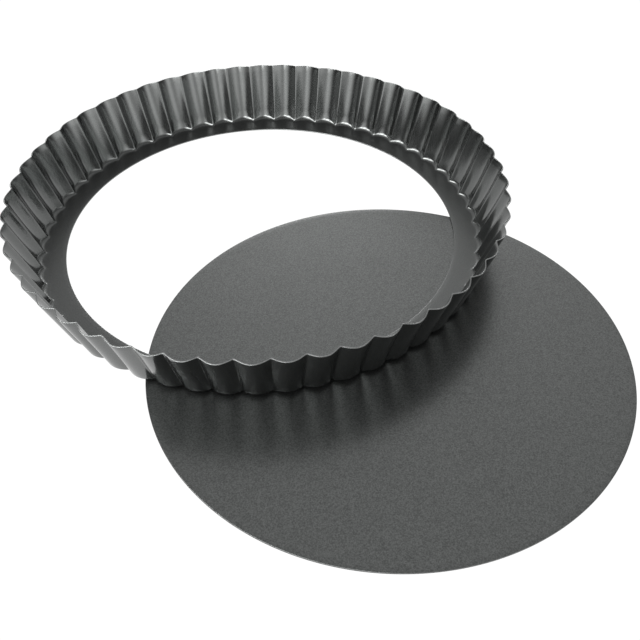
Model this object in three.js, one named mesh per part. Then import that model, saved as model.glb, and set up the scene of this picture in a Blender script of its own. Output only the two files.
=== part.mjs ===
// Loose-base tart pan in two pieces: a fluted ring with a narrow ledge, and the flat base plate that
// drops onto that ledge. Millimetres, +Z up. The plate lies on the table with the middle of its
// underside at the origin. The ring lies on top of it, level, with its centre further along +Y, so
// the two pieces are laid out one partly under the other.

import * as THREE from 'three';
import { ParametricGeometry } from 'three/addons/geometries/ParametricGeometry.js';

// Ring
const rimRadius = 230 / 2; // outside of the flutes at the rim
const footRadius = 210.8 / 2; // outside of the flutes, where the line of the wall meets the ledge
const openingRadius = 185 / 2;
const ringHeight = 29; // to the rim in the creases, where it is highest
const ringSheet = 0.5;
const crestBendRadius = 3; // middle of the sheet, between ledge and wall
const creaseBendRadius = 2;

// Flutes
const fluteCount = 54;
const rimFluteDepth = 2.3;
const footFluteDepth = 2.3;
const rimFullness = 1; // lower makes the flutes flatter on the crests and steeper at the creases
const footFullness = 0.6;
const rimDip = 0.7; // the fluting leaves the rim lower on the crests than in the creases
const creaseSoftness = 0.12; // 0 would make the creases between the flutes knife sharp

// Base plate
const baseRadius = 197 / 2;
const baseSheet = 0.8;
const baseEdgeBevel = 0.2;

// Layout
const ringOffset = 99.2; // from the middle of the plate to the middle of the ring
const restGap = 0.3; // between the plate and the ledge that lies on it
const ringTurn = THREE.MathUtils.degToRad(91.2); // a flute's crest lies at this angle from +X

// Facets
const columnsPerFlute = 6;
const bendSteps = 3;
const baseColumns = 120;

const coating = { color: 0x454746, roughness: 0.42, metalness: 0.35 };

const { lerp } = THREE.MathUtils;

// 1 on the crest of a flute, 0 in the crease between two flutes.
function fluteShape(angle, fullness) {
  const wave = Math.hypot(Math.cos((angle * fluteCount) / 2), creaseSoftness) ** fullness;
  const crease = creaseSoftness ** fullness;
  const crest = Math.hypot(1, creaseSoftness) ** fullness;
  return (wave - crease) / (crest - crease);
}

// Radius to the middle of the wall's sheet. rise is 0 at the ledge and 1 at the rim.
function wallRadius(angle, rise) {
  const crest = lerp(footRadius, rimRadius, rise) - ringSheet / 2;
  const depth = lerp(footFluteDepth, rimFluteDepth, rise);
  return crest - depth * (1 - fluteShape(angle, lerp(footFullness, rimFullness, rise)));
}

// Stations along the ring's section: the edge of the opening, the bend's points, and the rim. The
// loop around the sheet passes each of them twice, on the outside and on the inside.
const stationCount = bendSteps + 3;
const loopLength = 2 * stationCount;

// One point of the section at an angle, as (radius, height). side is 1 on the outside of the
// sheet and -1 on the inside.
function sectionPoint(angle, station, side) {
  const ledgeHeight = ringSheet / 2;
  const foot = wallRadius(angle, 0);
  const rim = wallRadius(angle, 1);
  const rimTop = ringHeight - rimDip * fluteShape(angle, rimFullness);
  const flare = Math.atan2(rim - foot, rimTop - ledgeHeight);
  const rimHeight = rimTop - (ringSheet * Math.sin(flare)) / 2;
  const facingDown = -Math.PI / 2;
  const facingOut = -flare;
  const bendRadius = lerp(creaseBendRadius, crestBendRadius, fluteShape(angle, footFullness));
  const bendReach = bendRadius * Math.tan((facingOut - facingDown) / 2);

  let facing = facingDown;
  const point = new THREE.Vector2(openingRadius, ledgeHeight);
  if (station === stationCount - 1) {
    facing = facingOut;
    point.set(rim, rimHeight);
  } else if (station > 0) {
    facing = lerp(facingDown, facingOut, (station - 1) / bendSteps);
    point.set(foot - bendReach, ledgeHeight + bendRadius);
    point.x += bendRadius * Math.cos(facing);
    point.y += bendRadius * Math.sin(facing);
  }
  point.x += (side * ringSheet * Math.cos(facing)) / 2;
  point.y += (side * ringSheet * Math.sin(facing)) / 2;
  return point;
}

// The ring's closed skin: u goes around the pan, v goes once around the sheet's section, out
// along the outside from the opening to the rim and back along the inside.
function ringSkin(u, v, target) {
  const angle = 2 * Math.PI * u;
  const step = Math.round(v * loopLength) % loopLength;
  const onOutside = step < stationCount;
  const station = onOutside ? step : loopLength - 1 - step;
  const point = sectionPoint(angle, station, onOutside ? 1 : -1);
  target.set(point.x * Math.cos(angle), point.x * Math.sin(angle), point.y);
}

function makeFlutedRing() {
  const columns = fluteCount * columnsPerFlute;
  const geometry = new ParametricGeometry(ringSkin, columns, loopLength);
  const ring = new THREE.Mesh(geometry, new THREE.MeshStandardMaterial(coating));
  ring.name = 'fluted_ring';
  ring.position.set(0, ringOffset, baseSheet + restGap);
  ring.rotation.z = ringTurn;
  return ring;
}

function makeBasePlate() {
  const outline = [
    new THREE.Vector2(0, 0),
    new THREE.Vector2(baseRadius - baseEdgeBevel, 0),
    new THREE.Vector2(baseRadius, baseEdgeBevel),
    new THREE.Vector2(baseRadius, baseSheet - baseEdgeBevel),
    new THREE.Vector2(baseRadius - baseEdgeBevel, baseSheet),
    new THREE.Vector2(0, baseSheet),
  ];
  const geometry = new THREE.LatheGeometry(outline, baseColumns);
  geometry.rotateX(Math.PI / 2);
  const plate = new THREE.Mesh(geometry, new THREE.MeshStandardMaterial(coating));
  plate.name = 'base_plate';
  return plate;
}

const tartPan = new THREE.Group();
tartPan.add(makeFlutedRing(), makeBasePlate());

export default tartPan;
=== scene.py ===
"""Looks for the loose-base tart pan: a fluted ring lying partly on its flat base plate, both in
dark grey non-stick coating, on a white table in soft studio light.

Everything is in metres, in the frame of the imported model: +Z up, the origin in the middle of the
base plate's underside, and the ring's centre further along +Y.
"""

import math

import bpy
import numpy as np
from mathutils import Matrix, Vector


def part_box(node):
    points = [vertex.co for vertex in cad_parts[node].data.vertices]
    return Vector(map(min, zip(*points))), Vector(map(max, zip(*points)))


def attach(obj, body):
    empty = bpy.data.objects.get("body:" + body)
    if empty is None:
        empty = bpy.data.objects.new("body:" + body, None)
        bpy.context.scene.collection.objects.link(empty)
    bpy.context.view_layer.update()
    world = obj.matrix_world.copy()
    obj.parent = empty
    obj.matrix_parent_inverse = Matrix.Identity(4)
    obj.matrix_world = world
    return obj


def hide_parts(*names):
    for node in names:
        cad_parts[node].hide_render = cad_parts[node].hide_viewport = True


MM = 0.001

# Sheet metal
RING_SHEET = 0.50 * MM
EDGE_ROUNDING = 0.8  # share of half the sheet's thickness that a cut edge is rounded by
EDGE_FULLNESS = 0.7  # 1 rounds a cut edge as an ellipse, and lower leaves its middle flatter
CREST_BEND_RADIUS = 3.0 * MM  # middle of the sheet, between the ledge and the wall
CREASE_BEND_RADIUS = 2.0 * MM

# Flutes
FLUTES = 54
RIM_FLUTE_DEPTH = 2.3 * MM
FOOT_FLUTE_DEPTH = 2.3 * MM
RIM_DIP = 0.7 * MM  # how much lower the rim is on the crests than in the creases
FOOT_INSET = 9.6 * MM  # how far the wall's foot lies inside its rim
RIM_FULLNESS = 1.0  # lower makes the flutes flatter on the crests and steeper at the creases
FOOT_FULLNESS = 0.6
CREASE_SOFTNESS = 0.12  # 0 would make the creases between the flutes knife sharp
PRESSING_ERROR = 0.12 * MM  # how far the pressed wall wanders from its true shape
PRESSING_WAVES = (  # waves round the pan, where they start in radians, and their share of the error
    (3, 0.9, 0.4),
    (7, 2.1, 0.3),
    (17, 4.0, 0.2),
    (31, 5.2, 0.25),
)

# How much one flute differs from the next, as a standard deviation
CREASE_SHIFT = 0.02  # share of a flute's pitch
CREASE_DEEPENING = 0.06  # share of the flute's depth
RIM_RISE = 0.10 * MM
DEPTH_SEED = 8
RIM_SEED = 9
SHIFT_SEED = 10

# Facets
COLUMNS_PER_FLUTE = 28
CREASE_CROWDING = 0.65  # 0 spaces the columns evenly, and higher draws them to the creases
LEDGE_ROWS = 4
BEND_ROWS = 8
WALL_ROWS = 8
EDGE_STEPS = 6
PLATE_COLUMNS = 360
PLATE_ROWS = 40

# Camera: angles in degrees, distance and target in base plate radii, lens and sensor in millimetres
VIEW_AZIMUTH = -33.53
VIEW_ELEVATION = 44.15
VIEW_ROLL = -1.14
VIEW_DISTANCE = 3.50
VIEW_TARGET = (-0.116, 0.328, 0.0)
FOCAL_LENGTH = 45.06
SENSOR_WIDTH = 36.0

# Coating. A finish has its roughness and shine on the walls and on level ground, since the spray
# settles thicker on the level; how much more a cut edge shines than the face beside it; and the
# size and depth of its grain, with the share by which the grain makes the shine vary.
COATING_DARK = (0.002, 0.0021, 0.0020)
COATING_LIGHT = (0.005, 0.0052, 0.0051)
COATING_SHEEN = (0.965, 1.0, 0.985)
COATING_IOR = 1.9
COATING_PATCH_SIZE = 28 * MM
PATCH_ROUGHNESS = 0.02  # how far one patch is rougher or smoother than the finish says
PATCH_DETAIL = 2
PATCH_SHARPNESS = 0.5
GRAIN_DETAIL = 2
GRAIN_SHARPNESS = 0.6
NOISE_RANGE = (0.3, 0.7)  # nearly all of a noise's values lie between these
WALL_FACING = 0.4  # the walls' finish holds where the surface faces up less than this
FLAT_FACING = 1.0  # and the level finish where it faces straight up
RING_FINISH = {
    "wall": {"roughness": 0.15, "shine": 0.6},
    "flat": {"roughness": 0.36, "shine": 0.42},
    "edge_shine": 1.7,
    "grain_size": 0.5 * MM,
    "grain_depth": 0.0025 * MM,
    "grain_contrast": 0.10,
}
PLATE_FINISH = {
    "wall": {"roughness": 0.29, "shine": 0.5},
    "flat": {"roughness": 0.29, "shine": 0.5},
    "edge_shine": 0.8,
    "grain_size": 0.5 * MM,
    "grain_depth": 0.008 * MM,
    "grain_contrast": 0.35,
}
CUT_EDGE = "cut_edge"  # marks the points on a cut edge, where the coating is worn thin
CUT_EDGE_COLOUR = (0.02, 0.02, 0.02)

# Studio lights, each a round patch of the sky that fades out from its middle. The angles are in
# degrees. Heading 0 is to the camera's right and 90 is straight ahead; spread is how far from the
# middle the light has dropped to 61 percent.
STUDIO_LIGHTS = (
    {"heading": 90, "elevation": 12, "spread": 7, "strength": 15},  # strip behind the pan
    {"heading": 185, "elevation": 40, "spread": 7, "strength": 20},  # box on the left
    {"heading": 225, "elevation": 40, "spread": 10, "strength": 18},  # box in front, to the left
    {"heading": 260, "elevation": 30, "spread": 7, "strength": 14},  # box in front
    {"heading": 250, "elevation": 5, "spread": 20, "strength": 2.4},  # pale wall in front
    {"heading": 315, "elevation": 15, "spread": 20, "strength": 2.4},  # fill on the right
    {"heading": 85, "elevation": 45, "spread": 35, "strength": 1.1},  # wide glow above and behind
)

# Table
TABLE_GLOW = 1.05
TABLE_REACH = 6.0
TABLE_DROP = 0.05 * MM  # keeps the table clear of the plate's underside


# ---------------------------------------------------------------- sizes taken from the frame


def ring_sizes(frame):
    """Centre, foot height, height, rim radius, opening radius and one crest's angle of the ring."""
    low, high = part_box("fluted_ring")
    centre = (low + high) / 2
    vertices = frame["nodes"]["fluted_ring"].data.vertices
    points = np.array([v.co for v in vertices]) - np.array(centre)
    radii = np.hypot(points[:, 0], points[:, 1])
    widest = points[radii.argmax()]
    return {
        "centre": (centre.x, centre.y),
        "foot": low.z,
        "height": high.z - low.z,
        "rim": radii.max(),
        "opening": radii.min(),
        "crest": math.atan2(widest[1], widest[0]),
    }


def plate_sizes():
    """Radius and thickness of the base plate."""
    low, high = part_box("base_plate")
    return {"radius": (high.x - low.x) / 2, "thickness": high.z - low.z}


# ---------------------------------------------------------------- mesh helpers


def closed_tube(grid):
    """Mesh data for a grid of points that closes on itself both ways: columns, then section loop."""
    columns, loop = grid.shape[:2]
    column = np.arange(columns)[:, None]
    step = np.arange(loop)[None, :]
    next_column = (column + 1) % columns
    next_step = (step + 1) % loop
    corners = [
        column * loop + step,
        next_column * loop + step,
        next_column * loop + next_step,
        column * loop + next_step,
    ]
    faces = np.stack(corners, -1).reshape(-1, 4)
    return grid.reshape(-1, 3), faces.tolist()


def make_object(name, points, faces, material):
    """A smooth-shaded mesh object of one material."""
    mesh = bpy.data.meshes.new(name)
    mesh.from_pydata(points.tolist(), [], faces)
    mesh.validate()
    mesh.polygons.foreach_set("use_smooth", [True] * len(mesh.polygons))
    mesh.materials.append(material)
    mesh.update()
    made = bpy.data.objects.new(name, mesh)
    bpy.context.scene.collection.objects.link(made)
    return made


def mark_cut_edges(made, cut):
    """Store, for each point, whether it lies on a cut edge, for the coating to read."""
    marks = made.data.attributes.new(CUT_EDGE, "FLOAT", "POINT")
    marks.data.foreach_set("value", cut)


def edge_cap(count):
    """(along the face, off the edge) shares that carry one face of a sheet round its cut edge."""
    turn = np.linspace(0, math.pi, count + 2)[1:-1]
    along = np.sign(np.cos(turn)) * np.abs(np.cos(turn)) ** EDGE_FULLNESS
    off = np.sin(turn) ** EDGE_FULLNESS
    return along, off * EDGE_ROUNDING


# ---------------------------------------------------------------- fluted ring


def flute_angles(crest):
    """Column angles round the ring, closer together at the creases, where the sheet turns sharply."""
    step = np.linspace(-1, 1, COLUMNS_PER_FLUTE + 1)[:-1]
    crowded = np.sin(step * math.pi / 2)
    share = (1 - CREASE_CROWDING) * step + CREASE_CROWDING * crowded
    pitch = 2 * math.pi / FLUTES
    centres = crest + pitch * np.arange(FLUTES)
    return (centres[:, None] + share[None, :] * pitch / 2).ravel()


def flute_shape(turn, fullness):
    """1 on a crest and 0 in a crease, for an angle counted from a crest."""
    wave = np.hypot(np.cos(turn * FLUTES / 2), CREASE_SOFTNESS) ** fullness
    crease = CREASE_SOFTNESS**fullness
    crest = math.hypot(1, CREASE_SOFTNESS) ** fullness
    return (wave - crease) / (crest - crease)


def uneven_flutes(turn, spread, seed):
    """A small error that differs from crease to crease and runs straight between them."""
    errors = np.random.default_rng(seed).normal(0, spread, FLUTES)
    creases = 0.5 + np.arange(FLUTES)
    return np.interp(turn * FLUTES / (2 * math.pi), creases, errors, period=FLUTES)


def pressing_error(turn, rise):
    """Small smooth departures of the wall from its true shape, as a real pressing has."""
    total = 0.0
    for count, start, share in PRESSING_WAVES:
        total = total + share * np.sin(count * turn + start + rise)
    return PRESSING_ERROR * total * rise


def ring_middle(ring, angles):
    """Points on the middle of the ring's sheet: columns by stations from the opening to the rim."""
    turn = angles - ring["crest"]
    ledge = RING_SHEET / 2
    crest_rim = ring["rim"] - RING_SHEET / 2
    deepening = 1 + uneven_flutes(turn, CREASE_DEEPENING, DEPTH_SEED)
    rim_shape = flute_shape(turn, RIM_FULLNESS)
    foot_shape = flute_shape(turn, FOOT_FULLNESS)
    rim = crest_rim - RIM_FLUTE_DEPTH * deepening * (1 - rim_shape) + pressing_error(turn, 1.0)
    foot = crest_rim - FOOT_INSET - FOOT_FLUTE_DEPTH * deepening * (1 - foot_shape)
    rim_top = ring["height"] - RIM_DIP * rim_shape + uneven_flutes(turn, RIM_RISE, RIM_SEED)
    placed = angles + uneven_flutes(turn, CREASE_SHIFT, SHIFT_SEED) * 2 * math.pi / FLUTES
    flare = np.arctan2(rim - foot, rim_top - ledge)
    top = rim_top - RING_SHEET / 2 * np.sin(flare)
    bend = CREASE_BEND_RADIUS + (CREST_BEND_RADIUS - CREASE_BEND_RADIUS) * foot_shape
    reach = bend * np.tan((math.pi / 2 - flare) / 2)

    stations = []
    for share in np.linspace(0, 1, LEDGE_ROWS, endpoint=False):
        stations.append((ring["opening"] * (1 - share) + (foot - reach) * share, ledge + 0 * foot))
    for share in np.linspace(0, 1, BEND_ROWS):
        facing = -math.pi / 2 + share * (math.pi / 2 - flare)
        radius = foot - reach + bend * np.cos(facing)
        stations.append((radius, ledge + bend * (1 + np.sin(facing))))
    start_radius, start_height = stations[-1]
    for share in np.linspace(0, 1, WALL_ROWS + 1)[1:]:
        radius = start_radius * (1 - share) + rim * share
        stations.append((radius, start_height * (1 - share) + top * share))
    radii = np.stack([radius for radius, _ in stations], 1)
    heights = np.stack([height for _, height in stations], 1)
    across = radii * np.cos(placed)[:, None]
    along = radii * np.sin(placed)[:, None]
    return np.stack([across, along, heights], -1)


def cut_edge_direction(edge, before):
    """Unit vectors along which the sheet runs out at a cut edge."""
    out = edge - before
    return out / np.linalg.norm(out, axis=-1, keepdims=True)


def sheet_normals(middle):
    """Unit normals of a grid of points that closes round its columns."""
    round_pan = np.roll(middle, -1, 0) - np.roll(middle, 1, 0)
    up_wall = np.gradient(middle, axis=1)
    normals = np.cross(round_pan, up_wall)
    return normals / np.linalg.norm(normals, axis=-1, keepdims=True)


def build_ring(ring, material):
    """The pressed ring: its sheet thickened both ways, with rounded cut edges at opening and rim."""
    angles = flute_angles(ring["crest"])
    middle = ring_middle(ring, angles)
    half = RING_SHEET / 2
    normals = sheet_normals(middle)
    outside = middle + half * normals
    inside = middle - half * normals

    # The faces stop short of both cut edges, and a cap carries the sheet round each edge.
    caps = []
    along, off = edge_cap(EDGE_STEPS)
    for end, before, side in ((-1, -2, 1), (0, 1, -1)):
        out = cut_edge_direction(middle[:, end], middle[:, before])
        outside[:, end] -= half * EDGE_ROUNDING * out
        inside[:, end] -= half * EDGE_ROUNDING * out
        caps.append([
            middle[:, end] + half * (side * a * normals[:, end] + (o - EDGE_ROUNDING) * out)
            for a, o in zip(along, off)
        ])
    rim_cap, opening_cap = caps
    loop = [outside[:, station] for station in range(outside.shape[1])]
    loop += rim_cap
    loop += [inside[:, station] for station in reversed(range(inside.shape[1]))]
    loop += opening_cap
    grid = np.stack(loop, 1) + np.array([*ring["centre"], ring["foot"]])
    points, faces = closed_tube(grid)
    shell = make_object("fluted_ring_shell", points, faces, material)
    face_rows = np.zeros(middle.shape[1])
    cut_rows = np.ones(EDGE_STEPS)
    cut = np.concatenate([face_rows, cut_rows, face_rows, cut_rows])
    mark_cut_edges(shell, np.tile(cut, len(angles)))
    return shell


# ---------------------------------------------------------------- base plate


def build_plate(plate, material):
    """The flat disc, with its cut edge rounded over."""
    half = plate["thickness"] / 2
    rounding = half * EDGE_ROUNDING
    flat = np.linspace(0, 1, PLATE_ROWS + 1)[1:] * (plate["radius"] - rounding)
    along, off = edge_cap(EDGE_STEPS)
    rim = plate["radius"] - rounding + half * off
    radii = np.concatenate([flat, rim, flat[::-1]])
    heights = np.concatenate([0 * flat, half - half * along, 0 * flat + 2 * half])
    angles = np.linspace(0, 2 * math.pi, PLATE_COLUMNS, endpoint=False)
    across = np.cos(angles)[:, None] * radii[None, :]
    depth = np.sin(angles)[:, None] * radii[None, :]
    grid = np.stack([across, depth, 0 * across + heights[None, :]], -1)
    rows = grid.shape[1]
    points = np.concatenate([grid.reshape(-1, 3), [[0, 0, 0], [0, 0, 2 * half]]])
    bottom = len(points) - 2
    faces = []
    for column in range(PLATE_COLUMNS):
        here = column * rows
        there = (column + 1) % PLATE_COLUMNS * rows
        faces.append((bottom, there, here))
        faces.append((bottom + 1, here + rows - 1, there + rows - 1))
        faces += [(here + r, there + r, there + r + 1, here + r + 1) for r in range(rows - 1)]
    disc = make_object("base_plate_disc", points, faces, material)
    flat_rows = np.zeros(len(flat))
    cut = np.concatenate([flat_rows, np.ones(EDGE_STEPS), flat_rows])
    mark_cut_edges(disc, np.concatenate([np.tile(cut, PLATE_COLUMNS), [0, 0]]))
    return disc


# ---------------------------------------------------------------- materials


def new_material(name):
    """A new node material, with its node tree and its shader."""
    material = bpy.data.materials.new(name)
    material.use_nodes = True
    nodes = material.node_tree.nodes
    return material, material.node_tree, nodes["Principled BSDF"]


def add_noise(tree, size, detail, roughness):
    """Noise that is fixed to the object, with features of about a size in metres."""
    place = tree.nodes.new("ShaderNodeTexCoord")
    noise = tree.nodes.new("ShaderNodeTexNoise")
    noise.inputs["Scale"].default_value = 1 / size
    noise.inputs["Detail"].default_value = detail
    noise.inputs["Roughness"].default_value = roughness
    tree.links.new(place.outputs["Object"], noise.inputs["Vector"])
    return noise.outputs["Fac"]


def add_range(tree, value, low, high, to_low, to_high):
    """value mapped from low..high to to_low..to_high."""
    mapped = tree.nodes.new("ShaderNodeMapRange")
    mapped.inputs["From Min"].default_value = low
    mapped.inputs["From Max"].default_value = high
    mapped.inputs["To Min"].default_value = to_low
    mapped.inputs["To Max"].default_value = to_high
    tree.links.new(value, mapped.inputs["Value"])
    return mapped.outputs["Result"]


def add_math(tree, operation, *values):
    """A maths node; each value is a socket or a number."""
    node = tree.nodes.new("ShaderNodeMath")
    node.operation = operation
    for socket, value in zip(node.inputs, values):
        if isinstance(value, bpy.types.NodeSocket):
            tree.links.new(value, socket)
        else:
            socket.default_value = value
    return node.outputs["Value"]


def add_colour_mix(tree, share, first, second):
    """A blend of two colours; each is a socket or a colour, and share is a socket."""
    mix = tree.nodes.new("ShaderNodeMix")
    mix.data_type = "RGBA"
    tree.links.new(share, mix.inputs["Factor"])
    for socket, colour in ((mix.inputs["A"], first), (mix.inputs["B"], second)):
        if isinstance(colour, bpy.types.NodeSocket):
            tree.links.new(colour, socket)
        else:
            socket.default_value = (*colour, 1)
    return mix.outputs["Result"]


def add_levelness(tree):
    """0 on the walls and 1 on level ground that faces up."""
    geometry = tree.nodes.new("ShaderNodeNewGeometry")
    facing = tree.nodes.new("ShaderNodeSeparateXYZ")
    tree.links.new(geometry.outputs["Normal"], facing.inputs["Vector"])
    return add_range(tree, facing.outputs["Z"], WALL_FACING, FLAT_FACING, 0, 1)


def add_cut_edge_marks(tree):
    """1 on a cut edge and 0 elsewhere."""
    marks = tree.nodes.new("ShaderNodeAttribute")
    marks.attribute_name = CUT_EDGE
    return marks.outputs["Fac"]


def coating(name, finish):
    """Dark non-stick coating: almost black underneath, with a satin sheen broken up by fine grain."""
    material, tree, shader = new_material(name)
    grain = add_noise(tree, finish["grain_size"], GRAIN_DETAIL, GRAIN_SHARPNESS)
    patches = add_noise(tree, COATING_PATCH_SIZE, PATCH_DETAIL, PATCH_SHARPNESS)
    on_cut_edge = add_cut_edge_marks(tree)
    level = add_levelness(tree)

    tint = add_colour_mix(tree, add_range(tree, grain, *NOISE_RANGE, 0, 1), COATING_DARK, COATING_LIGHT)
    colour = add_colour_mix(tree, on_cut_edge, tint, CUT_EDGE_COLOUR)
    tree.links.new(colour, shader.inputs["Base Color"])

    wall = finish["wall"]
    flat = finish["flat"]
    roughness = add_range(tree, level, 0, 1, wall["roughness"], flat["roughness"])
    patchiness = add_range(tree, patches, *NOISE_RANGE, -PATCH_ROUGHNESS, PATCH_ROUGHNESS)
    tree.links.new(add_math(tree, "ADD", roughness, patchiness), shader.inputs["Roughness"])

    contrast = finish["grain_contrast"]
    shine = add_range(tree, level, 0, 1, wall["shine"], flat["shine"])
    speckle = add_range(tree, grain, *NOISE_RANGE, 1 - contrast, 1 + contrast)
    wear = add_math(tree, "MULTIPLY_ADD", on_cut_edge, finish["edge_shine"] - 1, 1.0)
    uneven_shine = add_math(tree, "MULTIPLY", shine, add_math(tree, "MULTIPLY", speckle, wear))
    tree.links.new(uneven_shine, shader.inputs["Specular IOR Level"])
    shader.inputs["IOR"].default_value = COATING_IOR
    shader.inputs["Specular Tint"].default_value = (*COATING_SHEEN, 1)

    bump = tree.nodes.new("ShaderNodeBump")
    bump.inputs["Strength"].default_value = 1.0
    bump.inputs["Distance"].default_value = finish["grain_depth"]
    tree.links.new(grain, bump.inputs["Height"])
    tree.links.new(bump.outputs["Normal"], shader.inputs["Normal"])
    return material


def table_paper():
    """White card that glows by itself, so that the pan throws no shadow on it."""
    material, tree, shader = new_material("white_card")
    shader.inputs["Base Color"].default_value = (0, 0, 0, 1)
    shader.inputs["Roughness"].default_value = 1.0
    shader.inputs["Specular IOR Level"].default_value = 0.0
    shader.inputs["Emission Color"].default_value = (1, 1, 1, 1)
    shader.inputs["Emission Strength"].default_value = TABLE_GLOW
    return material


# ---------------------------------------------------------------- stage


def build_table():
    """A white table top that reaches past every view."""
    corners = ((-1, -1), (1, -1), (1, 1), (-1, 1))
    points = np.array([(x * TABLE_REACH, y * TABLE_REACH, -TABLE_DROP) for x, y in corners])
    table = make_object("table", points, [(0, 1, 2, 3)], table_paper())


def build_world():
    """Soft light from all round: each studio light is a wide, blurred patch of the sky.

    The lights show only in the pan; behind it the camera sees a plain backdrop, like the table.
    """
    world = bpy.data.worlds.new("studio")
    world.use_nodes = True
    tree = world.node_tree
    background = tree.nodes["Background"]
    background.inputs["Color"].default_value = (1, 1, 1, 1)
    looking = tree.nodes.new("ShaderNodeTexCoord").outputs["Generated"]
    total = 0.0
    for light in STUDIO_LIGHTS:
        turn = math.radians(VIEW_AZIMUTH + light["heading"])
        rise = math.radians(light["elevation"])
        flat = math.cos(rise)
        towards = (flat * math.cos(turn), flat * math.sin(turn), math.sin(rise))
        facing = tree.nodes.new("ShaderNodeVectorMath")
        facing.operation = "DOT_PRODUCT"
        facing.inputs[1].default_value = towards
        tree.links.new(looking, facing.inputs[0])
        away = add_math(tree, "SUBTRACT", facing.outputs["Value"], 1.0)
        sharpness = 1 / math.radians(light["spread"]) ** 2
        glow = add_math(tree, "EXPONENT", add_math(tree, "MULTIPLY", away, sharpness))
        total = add_math(tree, "MULTIPLY_ADD", glow, light["strength"], total)
    in_view = tree.nodes.new("ShaderNodeLightPath").outputs["Is Camera Ray"]
    out_of_view = add_math(tree, "SUBTRACT", 1.0, in_view)
    backdrop = add_math(tree, "MULTIPLY", in_view, TABLE_GLOW)
    strength = add_math(tree, "MULTIPLY_ADD", total, out_of_view, backdrop)
    tree.links.new(strength, background.inputs["Strength"])
    bpy.context.scene.world = world


def build_camera(plate):
    """The camera, placed round its target by azimuth, elevation, roll and distance."""
    azimuth = math.radians(VIEW_AZIMUTH)
    elevation = math.radians(VIEW_ELEVATION)
    roll = math.radians(VIEW_ROLL)
    flat = math.cos(elevation)
    back = Vector((math.sin(azimuth) * flat, -math.cos(azimuth) * flat, math.sin(elevation)))
    level = Vector((math.cos(azimuth), math.sin(azimuth), 0))
    upright = back.cross(level)
    right = math.cos(roll) * level + math.sin(roll) * upright
    up = back.cross(right)
    place = plate["radius"] * (Vector(VIEW_TARGET) + VIEW_DISTANCE * back)
    data = bpy.data.cameras.new("camera")
    data.lens = FOCAL_LENGTH
    data.sensor_width = SENSOR_WIDTH
    camera = bpy.data.objects.new("camera", data)
    camera.matrix_world = Matrix((right, up, back)).transposed().to_4x4()
    camera.location = place
    bpy.context.scene.collection.objects.link(camera)
    bpy.context.scene.camera = camera


# ---------------------------------------------------------------- the model


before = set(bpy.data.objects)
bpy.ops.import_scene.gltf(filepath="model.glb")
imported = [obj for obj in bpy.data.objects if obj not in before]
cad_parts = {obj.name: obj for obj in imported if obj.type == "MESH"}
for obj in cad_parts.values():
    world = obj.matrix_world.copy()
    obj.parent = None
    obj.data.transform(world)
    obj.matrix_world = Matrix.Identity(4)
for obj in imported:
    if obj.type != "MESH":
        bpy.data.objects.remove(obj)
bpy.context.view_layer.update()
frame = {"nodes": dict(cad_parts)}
ring = ring_sizes(frame)
plate = plate_sizes()

shell = build_ring(ring, coating("ring_coating", RING_FINISH))
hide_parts("fluted_ring")
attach(shell, "ring")

disc = build_plate(plate, coating("plate_coating", PLATE_FINISH))
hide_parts("base_plate")
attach(disc, "base")

build_table()
build_world()
build_camera(plate)
bpy.context.scene.view_settings.view_transform = "Standard"
